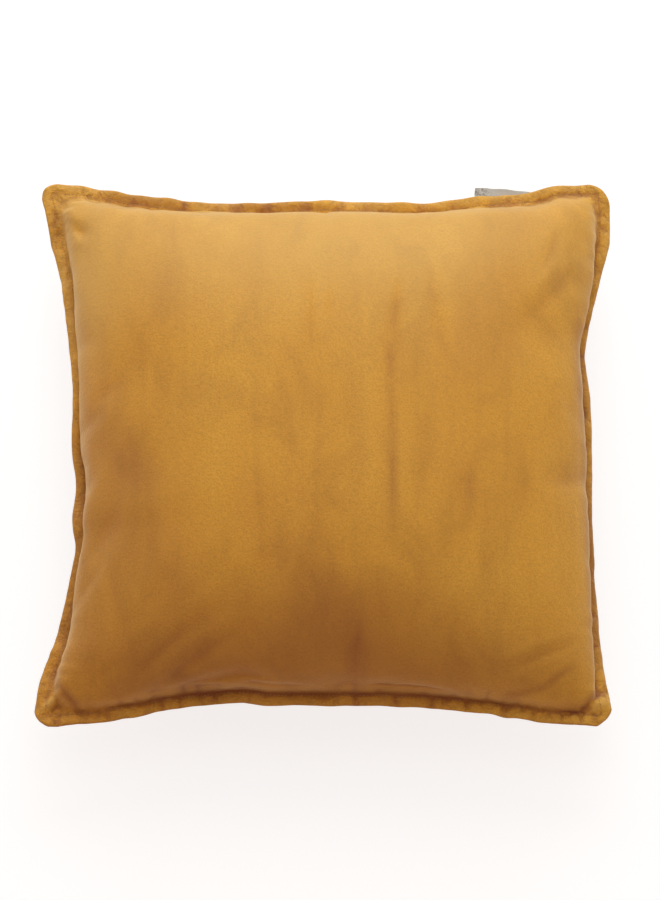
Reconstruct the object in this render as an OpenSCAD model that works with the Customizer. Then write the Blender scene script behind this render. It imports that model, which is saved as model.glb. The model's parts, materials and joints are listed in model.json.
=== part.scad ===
// Square throw pillow lying on its back: a flanged velvet cover with a zip across the back, and a loose
// inner pad. The origin is on the surface it lies on, under the middle. +Z comes out of the front face
// and +Y points to its top.

/* [Cover] */
// Width between the seams, measured at the corners
seam_corner = 464; // [440:2:480]
// Width between the seams, measured halfway along the sides
seam_middle = 422; // [410:2:436]
// How late each side swings out towards its corners
side_curve = 2.6; // [2.2:0.1:3]
// Height of each face above the flange
crown = 80; // [70:1:86]
// Fullness of the faces: a higher value is flatter in the middle and steeper at the seam
fullness = 2.4; // [2.2:0.1:2.6]
// Depth by which the back is pressed flat where it rests
press = 6; // [4:1:8]
// Thickness of the velvet
cloth = 1.2; // [1:0.1:1.4]
// Width of the flat flange outside the seam
flange_w = 13; // [10:1:16]
// Thickness of the front or the back half of the flange, which is the velvet and its turned-in hem
flange_ply = 2; // [1.8:0.1:2.4]
// Velvet colour
velvet_colour = "goldenrod"; // [goldenrod, darkgoldenrod, peru]

/* [Zip] */
// Length of the coils
zip_len = 300; // [240:10:310]
// Place of the zip, from the middle of the back to the bottom seam
zip_place = 0.87; // [0.86:0.005:0.88]
// Width of the slot between the back panels, where the coils show
slot_w = 10; // [10:0.5:11]
// Width of one tape
tape_w = 13; // [11:0.5:13]
// Length of the slider
slider_len = 9; // [8:0.5:10]
// Length of the pull, from its pin to its tip
pull_len = 22; // [16:1:24]

/* [Label] */
// Distance of the label's left end from the pillow's middle
label_x = 130; // [100:1:140]
// Width of the label
label_w = 60; // [40:1:62]
// Height of the label above the flange at its left end
label_rise = 9.5; // [6:0.5:11]
// Drop of the label's top edge from its left end to its right end
label_drop = 5; // [3:0.5:8]

/* [Inner pad] */
// Gap between the pad's edge and the cover's seam
pad_gap = 8; // [7:0.5:9]
// Thickness of the pad's cotton casing
casing = 0.8; // [0.6:0.1:1]

/* [Hidden] */

// Detail of the soft surfaces
cover_steps = 32;
pad_steps = 20;

// Heights
mid = crown + flange_ply - press;  // plane in which the two halves of the flange meet
face_z = mid + flange_ply;         // front of the flange
rear_z = mid - flange_ply;         // back of the flange

// Zip frame: x along the zip, y up the back panel, z into the cushion, with z = 0 on the outside of
// the back panel
zip_v = -zip_place;
zip_y = zip_v * seam_middle / 2;
zip_sink = 0.93;                   // the stiff zip sits this share as deep as the panel's crown would
zip_z = rear_z - crown * zip_sink * dome(0, zip_v);
slope_step = 0.01;
zip_drop = crown * (dome(0, zip_v + slope_step) - dome(0, zip_v - slope_step));
zip_tilt = atan(zip_drop / (slope_step * seam_middle));
band_v = 0.058;                    // half-height of the straight band that holds the zip
band_fade = 0.26;                  // distance over which the band fades into the upper back panel
band_u = 0.79;                     // half-length of the straight band
band_u_end = 0.97;                 // half-length at which it has faded out

// Zip parts
tape_t = 0.6;
coil_gap = 0.7;                    // from the zip's middle line to a coil or a tape
coil_w = 1.8;
coil_t = 2;
coil_tooth = 0.6;
coil_pitch = 2.5;
tape_len = zip_len + 32;
thread = 0.7;
thread_t = 0.4;
stop_len = 3.6;
stop_clear = 0.3;
stop_over = 0.4;                   // how far a stop reaches past the coil, across the zip
stop_proud = 0.3;                  // how far a stop stands out of the coil
slot_past = 1;                     // from a stop to the end of the slot
thread_past = 3;                   // from a stop to the end of the stitching
thread_off = 2;                    // from the slot to the stitching
tack_past = 6;                     // from a stop to a bar tack
tack_w = 2;
slider_w = 7.6;
plate_t = 1.2;
slider_clear = 0.3;
post_w = 0.7;
post_len = 3;
wall_w = 0.8;                      // side walls between the slider's plates
wall_inset = 0.1;
wall_h = 1.4;
weld = 0.2;                        // how far a wall, the post or the pin reaches into the metal beside it
lug_w = 0.9;
lug_gap = 3;
lug_r = 1.1;
lug_foot = 0.2;                    // how far a lug reaches into the outer plate
pin_r = 0.6;
pin_clear = 0.08;
pin_off = 1.7;                     // from the outer plate to the pin's middle
eye_r = 1.3;
eye_w = 2.4;
pull_w = 5.2;
pull_t = 1.4;
hole_r = 1.3;                      // hole near the tip of the pull
hole_in = 3.4;
pull_neck = 2.4;                   // from the pin to where the pull widens
slider_back = 1.5;                 // from the end of the coils to the slider
slider_rest = zip_len / 2 - slider_len / 2 - slider_back;
coil_top = cloth - coil_t;         // outer side of the coils
plate_z = coil_top - slider_clear; // inner side of the slider's outer plate
inner_z = cloth + tape_t + slider_clear;
pin_z = plate_z - plate_t - pin_off;

// Flange stitching
stitch_in = 2.2;
stitch_w = 0.8;
stitch_t = 0.5;

// Label
label_t = 0.8;
label_foot = 3.6;

// Inner pad
pad_lower = 4;                     // the pad's crown is lower than the cover's by this
pad_rest = 1.5;                    // gap between the back panel and the pad where both are pressed flat
fill_gap = 2.5;
fill_edge = 0.2;                   // half the thickness of the filling along its edge
overlock_w = 1;
overlock_t = 1;

// ---- Shape of the cushion ----
// u and v run from -1 to 1 between the seams, and on to -2 and 2 at the flange's outer edge.

function half(a) = (seam_middle + (seam_corner - seam_middle) * pow(min(abs(a), 1), side_curve)) / 2;
function out(a, b, inset) =
  sign(a) * (min(abs(a), 1) * (half(b) - inset) + max(abs(a) - 1, 0) * (flange_w + inset));
function rise(a) = 1 - pow(min(abs(a), 1), fullness);
function dome(u, v) = sqrt(rise(u) * rise(v));
function smooth(t) = let (s = min(max(t, 0), 1)) s * s * (3 - 2 * s);

// Even steps of angle, which lie closer together near the seams
function between_seams(n) = [for (i = [0 : n]) i == 0 ? -1 : i == n ? 1 : sin(-90 + 180 * i / n)];
function with_flange(list) = concat([-2], list, [2]);

// Rows of the back panel, with rows along both edges of the zip's band
band_low = zip_v - band_v;
band_high = zip_v + band_v;
function back_rows(n) = with_flange(concat(
  [for (i = [0 : 5]) i == 0 ? -1 : -1 + (1 + band_low) * pow(i / 6, 1.6)],
  [band_low, zip_v, band_high],
  [for (i = [1 : n]) i == n ? 1 : band_high + (1 - band_high) * sin(90 * i / n)]
));

function face_point(u, v, inset, height, base) =
  [out(u, v, inset), out(v, u, inset), base + height * dome(u, v)];

// Share by which the back panel follows the zip's straight band
function band_share(u, v) =
  smooth((band_u_end - abs(u)) / (band_u_end - band_u))
  * (v < band_low ? smooth((v + 1) / (band_low + 1)) : smooth((band_high + band_fade - v) / band_fade));
function band_point(u, v, depth) =
  let (y = v * seam_middle / 2)
  [
    out(u, v, 0),
    y + depth * sin(zip_tilt),
    zip_z - (y - zip_y) * tan(zip_tilt) + depth * cos(zip_tilt)
  ];
function back_point(u, v, inset, height, base, depth) =
  let (share = max(abs(u), abs(v)) > 1 ? 0 : band_share(u, v))
  (1 - share) * face_point(u, v, inset, -height, base) + share * band_point(u, v, depth);

function raised(p, low) = [p[0], p[1], max(p[2], low)];

// ---- Building blocks ----

// Closed solid between two grids of points with the same rows and columns
module between(upper, lower) {
  rows = len(upper);
  cols = len(upper[0]);
  count = rows * cols;
  function at(r, c) = r * cols + c;
  rim = concat(
    [for (c = [0 : cols - 2]) at(0, c)],
    [for (r = [0 : rows - 2]) at(r, cols - 1)],
    [for (c = [cols - 1 : -1 : 1]) at(rows - 1, c)],
    [for (r = [rows - 1 : -1 : 1]) at(r, 0)]
  );
  around = len(rim);
  polyhedron(
    points = concat([for (row = upper) each row], [for (row = lower) each row]),
    faces = concat(
      [for (r = [0 : rows - 2]) for (c = [0 : cols - 2]) [at(r, c), at(r + 1, c + 1), at(r, c + 1)]],
      [for (r = [0 : rows - 2]) for (c = [0 : cols - 2]) [at(r, c), at(r + 1, c), at(r + 1, c + 1)]],
      [for (r = [0 : rows - 2]) for (c = [0 : cols - 2])
        [count + at(r, c), count + at(r, c + 1), count + at(r + 1, c + 1)]],
      [for (r = [0 : rows - 2]) for (c = [0 : cols - 2])
        [count + at(r, c), count + at(r + 1, c + 1), count + at(r + 1, c)]],
      [for (i = [0 : around - 1]) [rim[i], rim[(i + 1) % around], count + rim[(i + 1) % around]]],
      [for (i = [0 : around - 1]) [rim[i], count + rim[(i + 1) % around], count + rim[i]]]
    )
  );
}

// Outline at a distance outside the seam, negative for inside it
function outline(n, outside) =
  let (list = between_seams(n))
  concat(
    [for (i = [0 : n - 1]) edge_point(list[i], -1, outside)],
    [for (i = [0 : n - 1]) edge_point(1, list[i], outside)],
    [for (i = [n : -1 : 1]) edge_point(list[i], 1, outside)],
    [for (i = [n : -1 : 1]) edge_point(-1, list[i], outside)]
  );
function edge_point(u, v, outside) = [u * (half(v) + outside), v * (half(u) + outside)];

module ring(n, inner, outer, low, height) {
  translate([0, 0, low])
    linear_extrude(height)
      difference() {
        polygon(outline(n, outer));
        polygon(outline(n, inner));
      }
}

module in_zip_frame() {
  translate([0, zip_y, zip_z])
    rotate([-zip_tilt, 0, 0])
      children();
}

// Box from its lowest and highest corners
module block(low, high) {
  translate(low)
    cube(high - low);
}

// ---- Cover ----

module front_panel() {
  list = with_flange(between_seams(cover_steps));
  color(velvet_colour)
    between(
      [for (v = list) [for (u = list) face_point(u, v, 0, crown, face_z)]],
      [for (v = list) [for (u = list)
        face_point(u, v, max(abs(u), abs(v)) > 1 ? 0 : cloth, crown + flange_ply - cloth, mid)]]
    );
}

module back_shell() {
  rows = back_rows(cover_steps - 6);
  list = with_flange(between_seams(cover_steps));
  difference() {
    between(
      [for (v = rows) [for (u = list)
        raised(
          back_point(u, v, max(abs(u), abs(v)) > 1 ? 0 : cloth, crown + flange_ply - cloth, mid, cloth),
          cloth
        )]],
      [for (v = rows) [for (u = list) back_point(u, v, 0, crown, rear_z, 0)]]
    );
    block([-seam_corner, -seam_corner, -crown], [seam_corner, seam_corner, 0]);
  }
}

module zip_slot() {
  block(
    [-zip_len / 2 - stop_len - slot_past, -slot_w / 2, -crown],
    [zip_len / 2 + stop_len + slot_past, slot_w / 2, 4 * cloth]
  );
}

module back_panel_upper() {
  color(velvet_colour)
    difference() {
      back_shell();
      in_zip_frame() {
        zip_slot();
        block([-seam_corner, -seam_corner, -seam_corner], [seam_corner, 0, seam_corner]);
      }
    }
}

module back_panel_lower() {
  color(velvet_colour)
    difference() {
      back_shell();
      in_zip_frame() {
        zip_slot();
        block([-seam_corner, 0, -seam_corner], [seam_corner, 2 * seam_corner, seam_corner]);
      }
    }
}

module flange_stitching_front() {
  color("darkgoldenrod")
    ring(cover_steps, stitch_in, stitch_in + stitch_w, face_z, stitch_t);
}

module flange_stitching_back() {
  color("darkgoldenrod")
    ring(cover_steps, stitch_in, stitch_in + stitch_w, rear_z - stitch_t, stitch_t);
}

module woven_label() {
  label_end = label_x + label_w;
  top = flange_top(label_x) + label_rise;
  color("gainsboro")
    translate([0, 0, rear_z - label_t])
      linear_extrude(label_t)
        polygon([
          [label_x, flange_top(label_x) - flange_w + label_foot],
          [label_end, flange_top(label_end) - flange_w + label_foot],
          [label_end, top - label_drop],
          [label_x, top]
        ]);
}
// Outer edge of the top flange at a distance from the middle
function flange_top(x) = half(x / half(1)) + flange_w;

// ---- Zip ----

module tape() {
  block([-tape_len / 2, coil_gap, cloth], [tape_len / 2, coil_gap + tape_w, cloth + tape_t]);
}

module coil() {
  teeth = floor(zip_len / coil_pitch);
  translate([-teeth * coil_pitch / 2, coil_gap, coil_top])
    linear_extrude(coil_t)
      polygon(concat(
        [for (i = [0 : teeth - 1]) each [
          [i * coil_pitch, coil_tooth],
          [i * coil_pitch, 0],
          [(i + 0.5) * coil_pitch, 0],
          [(i + 0.5) * coil_pitch, coil_tooth]
        ]],
        [[teeth * coil_pitch, coil_tooth], [teeth * coil_pitch, coil_w], [0, coil_w]]
      ));
}

module tape_thread() {
  x = zip_len / 2 + stop_len + thread_past;
  y = slot_w / 2 + thread_off;
  block([-x, y, -thread_t], [x, y + thread, 0]);
}

module zip_tape_upper() {
  color("darkgoldenrod") in_zip_frame() tape();
}

module zip_tape_lower() {
  color("darkgoldenrod") in_zip_frame() mirror([0, 1, 0]) tape();
}

module zip_coil_upper() {
  color("tan") in_zip_frame() coil();
}

module zip_coil_lower() {
  color("tan") in_zip_frame() mirror([0, 1, 0]) coil();
}

module zip_top_stops() {
  x = zip_len / 2 + stop_clear;
  color("silver")
    in_zip_frame()
      for (side = [0, 1])
        mirror([0, side, 0])
          block([x, coil_gap, coil_top - stop_proud], [x + stop_len, coil_gap + coil_w + stop_over, cloth]);
}

module zip_bottom_stop() {
  x = zip_len / 2 + stop_clear;
  y = coil_gap + coil_w + stop_over;
  color("silver")
    in_zip_frame()
      block([-x - stop_len, -y, coil_top - stop_proud], [-x, y, cloth]);
}

module zip_stitching_upper() {
  color("darkgoldenrod") in_zip_frame() tape_thread();
}

module zip_stitching_lower() {
  color("darkgoldenrod") in_zip_frame() mirror([0, 1, 0]) tape_thread();
}

module zip_bar_tacks() {
  x = zip_len / 2 + stop_len + tack_past;
  color("darkgoldenrod")
    in_zip_frame()
      for (side = [0, 1])
        mirror([side, 0, 0])
          block([x, -slot_w / 2, -thread_t], [x + tack_w, slot_w / 2, 0]);
}

// Outline of a slider plate, wide at the end where the coils part
module plate_outline() {
  polygon([
    [-slider_len / 2, -slider_w * 0.36],
    [slider_len * 0.1, -slider_w * 0.5],
    [slider_len * 0.4, -slider_w * 0.5],
    [slider_len / 2, -slider_w * 0.34],
    [slider_len / 2, slider_w * 0.34],
    [slider_len * 0.4, slider_w * 0.5],
    [slider_len * 0.1, slider_w * 0.5],
    [-slider_len / 2, slider_w * 0.36]
  ]);
}

// Side wall of the slider, which keeps a coil in its channel
module slider_wall() {
  block(
    [-slider_len * 0.35, slider_w / 2 - wall_inset - wall_w, plate_z - weld],
    [slider_len * 0.35, slider_w / 2 - wall_inset, plate_z + wall_h]
  );
}

module slider_lug() {
  translate([0, lug_gap / 2, 0])
    rotate([-90, 0, 0])
      linear_extrude(lug_w)
        union() {
          translate([0, -pin_z]) circle(r = lug_r, $fn = 32);
          translate([-lug_r, -pin_z]) mirror([0, 1]) square([2 * lug_r, pin_off + lug_foot]);
        }
}

module zip_slider() {
  color("silver")
    in_zip_frame()
      translate([slider_rest, 0, 0]) {
        translate([0, 0, plate_z - plate_t]) linear_extrude(plate_t) plate_outline();
        translate([0, 0, inner_z]) linear_extrude(plate_t) plate_outline();
        block([slider_len / 2 - 1 - post_len, -post_w / 2, plate_z - weld],
              [slider_len / 2 - 1, post_w / 2, inner_z + weld]);
        for (side = [0, 1])
          mirror([0, side, 0]) {
            slider_wall();
            slider_lug();
          }
        translate([0, -lug_gap / 2 - weld, pin_z])
          rotate([-90, 0, 0])
            cylinder(r = pin_r, h = lug_gap + 2 * weld, $fn = 48);
      }
}

// The pull hangs straight out of the slider, and swings on the slider's pin
module zip_pull() {
  color("silver")
    in_zip_frame()
      translate([slider_rest, 0, pin_z])
        difference() {
          union() {
            translate([0, -eye_w / 2, 0])
              rotate([-90, 0, 0])
                cylinder(r = eye_r, h = eye_w, $fn = 48);
            block([-pull_t / 2, -eye_w / 2, -pull_neck - 1], [pull_t / 2, eye_w / 2, 0]);
            translate([-pull_t / 2, 0, 0])
              rotate([0, 90, 0])
                linear_extrude(pull_t)
                  pull_outline();
          }
          translate([0, -pull_w, 0])
            rotate([-90, 0, 0])
              cylinder(r = pin_r + pin_clear, h = 2 * pull_w, $fn = 48);
        }
}

// Outline of the pull's tab, x from the pin towards the tip
module pull_outline() {
  corner = 1.2;
  difference() {
    union() {
      translate([pull_neck, -pull_w / 2 + corner]) square([pull_len - pull_neck, pull_w - 2 * corner]);
      translate([pull_neck + corner, -pull_w / 2]) square([pull_len - pull_neck - 2 * corner, pull_w]);
      for (x = [pull_neck + corner, pull_len - corner])
        for (y = [-pull_w / 2 + corner, pull_w / 2 - corner])
          translate([x, y]) circle(r = corner, $fn = 32);
    }
    translate([pull_len - hole_in, 0]) circle(r = hole_r, $fn = 32);
  }
}

// ---- Inner pad ----

pad_crown = crown - pad_lower;

module pad_half(side, low) {
  list = between_seams(pad_steps);
  outer = [for (v = list) [for (u = list)
    raised(face_point(u, v, pad_gap, side * pad_crown, mid), low)]];
  inner = [for (v = list) [for (u = list)
    raised(face_point(u, v, pad_gap + casing, side * (pad_crown - casing), mid), low + casing)]];
  if (side > 0)
    between(outer, inner);
  else
    between(inner, outer);
}

module pad_casing_front() {
  color("white") pad_half(1, 0);
}

module pad_casing_back() {
  color("white") pad_half(-1, cloth + pad_rest);
}

module pad_edge_seam() {
  color("gainsboro")
    ring(pad_steps, -pad_gap, -pad_gap + overlock_w, mid - overlock_t / 2, overlock_t);
}

module pad_filling() {
  list = between_seams(pad_steps);
  inset = pad_gap + casing + fill_gap;
  height = pad_crown - casing - fill_gap;
  color("ivory")
    between(
      [for (v = list) [for (u = list) face_point(u, v, inset, height - fill_edge, mid + fill_edge)]],
      [for (v = list) [for (u = list)
        raised(face_point(u, v, inset, fill_edge - height, mid - fill_edge),
               cloth + pad_rest + casing + fill_gap)]]
    );
}

front_panel();
back_panel_upper();
back_panel_lower();
flange_stitching_front();
flange_stitching_back();
woven_label();
zip_tape_upper();
zip_tape_lower();
zip_coil_upper();
zip_coil_lower();
zip_top_stops();
zip_bottom_stop();
zip_stitching_upper();
zip_stitching_lower();
zip_bar_tacks();
zip_slider();
zip_pull();
pad_casing_front();
pad_casing_back();
pad_edge_seam();
pad_filling();
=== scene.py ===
import json
import math

import bpy
import numpy as np
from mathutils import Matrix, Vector


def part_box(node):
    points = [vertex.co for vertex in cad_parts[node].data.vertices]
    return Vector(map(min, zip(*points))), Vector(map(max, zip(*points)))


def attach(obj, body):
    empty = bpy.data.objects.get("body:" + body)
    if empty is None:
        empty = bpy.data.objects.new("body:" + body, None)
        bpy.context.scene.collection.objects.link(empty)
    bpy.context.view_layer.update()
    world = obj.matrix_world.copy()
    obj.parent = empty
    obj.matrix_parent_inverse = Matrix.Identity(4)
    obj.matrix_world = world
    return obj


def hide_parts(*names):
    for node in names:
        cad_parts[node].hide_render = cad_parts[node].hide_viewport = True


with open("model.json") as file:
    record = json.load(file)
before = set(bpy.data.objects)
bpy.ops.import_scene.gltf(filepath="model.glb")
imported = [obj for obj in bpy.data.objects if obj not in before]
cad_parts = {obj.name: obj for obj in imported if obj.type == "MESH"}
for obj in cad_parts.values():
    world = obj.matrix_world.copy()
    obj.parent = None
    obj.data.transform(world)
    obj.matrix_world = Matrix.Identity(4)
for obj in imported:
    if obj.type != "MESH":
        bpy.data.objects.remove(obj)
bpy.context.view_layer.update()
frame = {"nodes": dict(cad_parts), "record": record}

BODY = "cushion"

# ---- Driving dimensions, in metres, from the frame ----
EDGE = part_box("front_panel")[1].x  # outer edge of the flange at the corners
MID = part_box("front_panel")[0].z  # plane in which the halves of the flange meet
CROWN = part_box("front_panel")[1].z - MID  # height of the front face above that plane
FLANGE = 0.0118  # width of the flange outside the stitching
PLY = 0.0017  # thickness of one half of the flange
CLOTH = 0.0011  # thickness of the velvet
FLAT = 0.476  # cloth between the stitching, side to side, before filling
CELLS = 96  # cloth cells between the stitching
MM = 0.001

# Seam corners, and each side's seam between them: place along the side as a share of EDGE, then how far in
# from EDGE the seam lies, in millimetres. The sides are pulled in unevenly, as the filling lets them.
CORNER = {"bl": (-0.950, -0.942), "br": (0.938, -0.940), "tl": (-0.950, 0.958), "tr": (0.953, 0.957)}
LEFT = [(-0.82, 17.5), (-0.67, 30), (-0.51, 38.5), (-0.35, 45), (-0.25, 42.5), (-0.11, 44.5), (0.04, 41),
        (0.25, 41), (0.45, 36), (0.61, 31), (0.78, 22)]
RIGHT = [(-0.78, 21.5), (-0.61, 25.5), (-0.45, 28), (-0.2, 29.5), (0.0, 29), (0.2, 30), (0.375, 34),
         (0.53, 27.5), (0.68, 18.5), (0.82, 11)]
BOTTOM = [(-0.82, 16), (-0.67, 22.5), (-0.51, 30), (-0.29, 35), (-0.18, 32), (0.0, 33), (0.25, 31.5),
          (0.42, 29), (0.59, 24), (0.78, 17)]
TOP = [(-0.82, 13), (-0.69, 20), (-0.51, 25.5), (-0.25, 28), (0.0, 25.5), (0.25, 27.5), (0.4, 27.5),
       (0.54, 22), (0.67, 19), (0.75, 17), (0.83, 11.3)]


# ---- Small tools ----

def smooth(t):
    t = np.clip(t, 0, 1)
    return t * t * (3 - 2 * t)


def ripple(s, seed, wave):
    """A gentle uneven wave of size about 1 along s, with features about one wave long."""
    draw = np.random.default_rng(seed)
    total = np.zeros_like(s, dtype=float)
    for k in range(5):
        length = wave * draw.uniform(0.6, 1.7)
        total += draw.uniform(0.5, 1.0) * np.sin(2 * math.pi * (s / length + draw.uniform()))
    return total / 2.2


def lengths_along(line):
    """How far along a line of points each one lies."""
    return np.concatenate([[0], np.cumsum(np.linalg.norm(np.diff(line, axis=0), axis=1))])


def unit(vectors):
    return vectors / (np.linalg.norm(vectors, axis=-1, keepdims=True) + 1e-12)


def through(points, n):
    """n + 1 points evenly spaced along a smooth curve through the points."""
    p = np.array(points, float)
    p = np.vstack([2 * p[0] - p[1], p, 2 * p[-1] - p[-2]])
    line = []
    for a, b, c, d in zip(p, p[1:], p[2:], p[3:]):
        for t in np.linspace(0, 1, 40, endpoint=False):
            line.append(0.5 * (2 * b + (c - a) * t + (2 * a - 5 * b + 4 * c - d) * t * t
                               + (3 * b - a - 3 * c + d) * t ** 3))
    line = np.array(line + [p[-2]])
    along = lengths_along(line)
    at = np.linspace(0, along[-1], n + 1)
    return np.stack([np.interp(at, along, line[:, k]) for k in range(p.shape[1])], axis=1)


def blur(grid, sigma):
    """Gaussian blur of a grid of points, with sigma in cells. Straight runs at its edges stay straight."""
    reach = int(3 * sigma)
    weights = np.exp(-0.5 * (np.arange(-reach, reach + 1) / sigma) ** 2)
    weights /= weights.sum()
    for axis in (0, 1):
        pad = [(0, 0)] * grid.ndim
        pad[axis] = (reach, reach)
        wide = np.pad(grid, pad, mode="reflect", reflect_type="odd")
        n = grid.shape[axis]
        grid = sum(w * np.take(wide, range(k, k + n), axis=axis) for k, w in enumerate(weights))
    return grid


def normals_of(grid):
    return unit(np.cross(np.gradient(grid, axis=1), np.gradient(grid, axis=0)))


def grid_quads(rows, cols):
    """Faces of a grid of points kept row by row."""
    return [(j * cols + i, j * cols + i + 1, (j + 1) * cols + i + 1, (j + 1) * cols + i)
            for j in range(rows - 1) for i in range(cols - 1)]


def bag_points(n):
    """Two grids of n by n points that share their rim. Returns each point's number in the bag, for both grids
    row by row, which points of a grid are on the rim, and the bag's faces."""
    rim = np.ones((n, n), bool)
    rim[1:-1, 1:-1] = False
    rim = rim.ravel()
    index = np.array([range(n * n)] * 2)
    index[1, ~rim] = n * n + np.arange((~rim).sum())
    quads = np.array(grid_quads(n, n))
    return index, rim, np.concatenate([index[0][quads], index[1][quads[:, ::-1]]]).tolist()


def tube_faces(base, rings, sides):
    """Faces of a closed tube, from rings of points that start at number base."""
    faces = []
    for r in range(rings - 1):
        for m in range(sides):
            a, b = base + r * sides + m, base + r * sides + (m + 1) % sides
            faces.append((a, b, b + sides, a + sides))
    faces.append(tuple(base + m for m in reversed(range(sides))))
    faces.append(tuple(base + (rings - 1) * sides + m for m in range(sides)))
    return faces


def add_object(name, verts, faces, material, smooth_shade=True):
    mesh = bpy.data.meshes.new(name)
    mesh.from_pydata([tuple(v) for v in verts], [], faces)
    mesh.update()
    if smooth_shade:
        mesh.shade_smooth()
    obj = bpy.data.objects.new(name, mesh)
    bpy.context.scene.collection.objects.link(obj)
    mesh.materials.append(material)
    return obj


def points_of(mesh):
    co = np.empty(len(mesh.vertices) * 3)
    mesh.vertices.foreach_get("co", co)
    return co.reshape(-1, 3)


def set_attribute(obj, name, values):
    obj.data.attributes.new(name, "FLOAT", "POINT").data.foreach_set("value", np.array(values, np.float32))


def thicken(obj, thickness, offset):
    """Gives a sheet real thickness: behind it where offset is -1, on both sides of it where 0."""
    thick = obj.modifiers.new("thick", "SOLIDIFY")
    thick.thickness, thick.offset = thickness, offset


def bake_modifiers(obj):
    """The object's mesh with its modifiers applied."""
    graph = bpy.context.evaluated_depsgraph_get()
    mesh = bpy.data.meshes.new_from_object(obj.evaluated_get(graph))
    obj.modifiers.clear()
    obj.data = mesh


# ---- Shape of the seam and the cover ----

def side(points, fixed_axis, sign, start, end, n):
    """A side's seam from corner to corner, as n + 1 points in the plane of the flange."""
    inner = []
    for place, pull in points:
        along, across = place * EDGE, sign * (EDGE - pull * MM)
        inner.append((across, along) if fixed_axis == 0 else (along, across))
    ends = [(CORNER[c][0] * EDGE, CORNER[c][1] * EDGE) for c in (start, end)]
    return through([ends[0]] + inner + [ends[1]], n)


def seam_sides():
    """For each side: the seam's points, its outward direction, and its small ripples in and out of plan."""
    made = {
        "left": side(LEFT, 0, -1, "bl", "tl", FINE), "right": side(RIGHT, 0, 1, "br", "tr", FINE),
        "bottom": side(BOTTOM, 1, -1, "bl", "br", FINE), "top": side(TOP, 1, 1, "tl", "tr", FINE),
    }
    out = {"left": (-1, 0), "right": (1, 0), "bottom": (0, -1), "top": (0, 1)}
    result = {}
    for k, (name, line) in enumerate(made.items()):
        a = np.linspace(-1, 1, FINE + 1)
        fade = smooth((1 - np.abs(a)) / 0.14)
        s = (a + 1) * FLAT / 2
        tangent = np.gradient(line, axis=0)
        normal = np.stack([tangent[:, 1], -tangent[:, 0]], axis=1)
        normal = unit(normal * np.sign((normal * out[name]).sum(1, keepdims=True)))
        shift = np.column_stack([
            normal * (fade * 0.4 * MM * ripple(s, 11 + k, 0.019))[:, None],
            fade * MM * (0.9 * ripple(s, 21 + k, 0.023) + 1.4 * ripple(s, 31 + k, 0.12)),
        ])
        result[name] = (line, np.column_stack([normal, np.zeros(FINE + 1)]), shift)
    return result


FINE = 480
SIDES = seam_sides()


def on_side(name, part, a):
    """Part 0, 1 or 2 of a side (its line, direction or ripple) at places a from -1 to 1."""
    data = SIDES[name][part]
    steps = np.linspace(-1, 1, FINE + 1)
    return np.stack([np.interp(a, steps, data[:, k]) for k in range(data.shape[1])], axis=-1)


def coons(u, v):
    """Points in the plane of the flange, spread between the four seams. u and v run from -1 to 1."""
    one = np.ones_like(u)
    a, b = ((u + 1) / 2)[..., None], ((v + 1) / 2)[..., None]
    bottom, top = on_side("bottom", 0, u), on_side("top", 0, u)
    left, right = on_side("left", 0, v), on_side("right", 0, v)
    corners = ((1 - a) * (1 - b) * on_side("bottom", 0, -one) + a * (1 - b) * on_side("bottom", 0, one)
               + (1 - a) * b * on_side("top", 0, -one) + a * b * on_side("top", 0, one))
    return (1 - b) * bottom + b * top + (1 - a) * left + a * right - corners


HALF = FLAT / 2 * 0.9  # half the width of the filled cover halfway along a side
EAR = {"bl": 0.024, "br": 0.014, "tl": 0.024, "tr": 0.008}  # radius of the filled part's corners
CRISP = 0.8 * MM  # how softly a face rises from its stitching, and what each side and corner adds
LEAN = {"left": 0.0020, "right": 0.0, "bottom": 0.0, "top": 0.0055}
EAR_SOFT = {"bl": 0.0022, "br": 0.0018, "tl": 0.0038, "tr": 0.0026}
LEAN_REACH = 0.06  # how far in from a side and from a corner that counts
EAR_REACH = 0.05
QUADRANT = {"bl": (-1, -1), "br": (1, -1), "tl": (-1, 1), "tr": (1, 1)}


def dome(u, v, power=2.5, steep=0.45):
    """Height of a filled face, 1 in the middle. Its corners are round, with flat ears outside them."""
    height = ((1 - np.abs(u) ** power) * (1 - np.abs(v) ** power)).clip(0) ** steep
    dx, dy = (1 - np.abs(u)) * HALF, (1 - np.abs(v)) * HALF
    for name, (sx, sy) in QUADRANT.items():
        r = EAR[name]
        here = (u * sx >= 0) & (v * sy >= 0)
        corner = r - np.hypot((r - dx).clip(0), (r - dy).clip(0))
        inside = np.where((dx < r) & (dy < r), corner.clip(0), np.minimum(dx, dy))
        near = smooth((EAR_REACH - dx) / EAR_REACH) * smooth((EAR_REACH - dy) / EAR_REACH)
        lean = LEAN["right" if sx > 0 else "left"] * smooth((LEAN_REACH - dx) / LEAN_REACH)
        lean = lean + LEAN["top" if sy > 0 else "bottom"] * smooth((LEAN_REACH - dy) / LEAN_REACH)
        soft = CRISP + lean * (1 - near) + EAR_SOFT[name] * near
        height = np.where(here, height * (1 - np.exp(-(inside / soft) ** 1.3)), height)
    return height


SPACING = np.linspace(-1, 1, CELLS + 1)
SPACING = SPACING + 0.42 * np.sin(math.pi * SPACING) / math.pi  # the rows lie closer near the seams
# How far the cloth's rows and columns lie from each side, along the cloth
FROM_LOW, FROM_HIGH = (1 + SPACING) * FLAT / 2, (1 - SPACING) * FLAT / 2
AWAY = {"left": FROM_LOW[None, :], "right": FROM_HIGH[None, :], "bottom": FROM_LOW[:, None],
        "top": FROM_HIGH[:, None]}
UPRIGHT = ("left", "right")


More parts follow.
